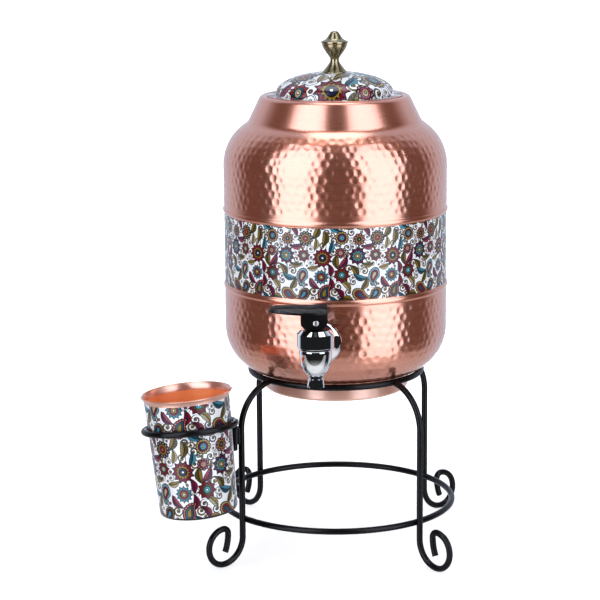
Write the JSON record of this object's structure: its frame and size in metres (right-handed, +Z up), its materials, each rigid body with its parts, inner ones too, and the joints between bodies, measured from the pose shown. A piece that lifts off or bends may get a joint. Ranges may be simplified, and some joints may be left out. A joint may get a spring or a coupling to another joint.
{
  "type": "water dispenser",
  "caption": "Hammered copper water dispenser with a printed band, domed lid and lever tap, on a scrolled bar stand with a swinging holder for its printed cup.",
  "frame": {"origin": "on the floor under the tank's axis, midway between the four feet", "axes": "+Z up along the tank's axis, -Y towards the tap, +X to the right when facing the tap"},
  "size_m": [0.247, 0.2611, 0.4288],
  "materials": {
    "black_bar": "satin black powder coat",
    "copper": "satin copper, hammered on the tank",
    "printed_copper": "copper sheet with a lacquered print",
    "chrome": "polished plating",
    "rubber": "matt black",
    "silicone": "soft translucent white",
    "brass": "aged, turned",
    "steel": "drawn",
    "lever_plastic": "worn black"
  },
  "bodies": {
    "stand": {"stand_top_ring": "black_bar", "stand_base_ring": "black_bar", "leg_front_left": "black_bar", "leg_front_right": "black_bar", "leg_rear_left": "black_bar", "leg_rear_right": "black_bar", "holder_sleeve": "black_bar"},
    "tank": {"upper_shell": "copper", "lower_shell": "copper", "printed_band": "printed_copper", "foot_ring": "copper", "tap_body": "chrome", "tap_bonnet": "chrome", "outer_gasket": "rubber", "inner_washer": "rubber", "shank_nut": "chrome"},
    "lid": {"lid_dome": "printed_copper", "lid_collar": "copper", "finial": "brass", "finial_washer": "brass", "finial_screw": "brass"},
    "tap_swivel": {"return_spring": "steel"},
    "stem": {"valve_stem": "steel", "seat_cup": "silicone"},
    "lever": {"lever": "lever_plastic", "lever_pin": "chrome"},
    "holder": {"cup_holder": "black_bar"},
    "cup": {"tumbler": "printed_copper"}
  },
  "joints": [
    {"name": "tank_lift", "type": "slide", "parent": "stand", "child": "tank", "axis": [0, 0, 1], "range_m": [0, 0.06]},
    {"name": "lid_lift", "type": "slide", "parent": "tank", "child": "lid", "axis": [0, 0, 1], "range_m": [0, 0.08]},
    {"name": "lever_swivel", "type": "hinge", "parent": "tank", "child": "tap_swivel", "pos_m": [0, -0.121, 0.1905], "axis": [0, 0, 1], "range_deg": [-50, 210]},
    {"name": "stem_lift", "type": "slide", "parent": "tap_swivel", "child": "stem", "axis": [0, 0, 1], "range_m": [0, 0.0035], "stiffness_N_per_m": 150, "springref_m": -0.01, "deforming": ["return_spring"]},
    {"name": "lever_tilt", "type": "hinge", "parent": "stem", "child": "lever", "pos_m": [0, -0.121, 0.2131], "axis": [-0.1736, 0.9848, 0], "range_deg": [0, 91]},
    {"name": "holder_swing", "type": "hinge", "parent": "stand", "child": "holder", "pos_m": [-0.07253, -0.08256, 0.109], "axis": [0, 0, 1], "range_deg": [-60, 60]},
    {"name": "cup_lift", "type": "slide", "parent": "holder", "child": "cup", "axis": [-0.0934, 0.0126, 0.9956], "range_m": [0, 0.1]}
  ],
  "couplings": [
    {"joint": "lever_tilt", "follows": "stem_lift", "rad_per_m": 448.8}
  ]
}
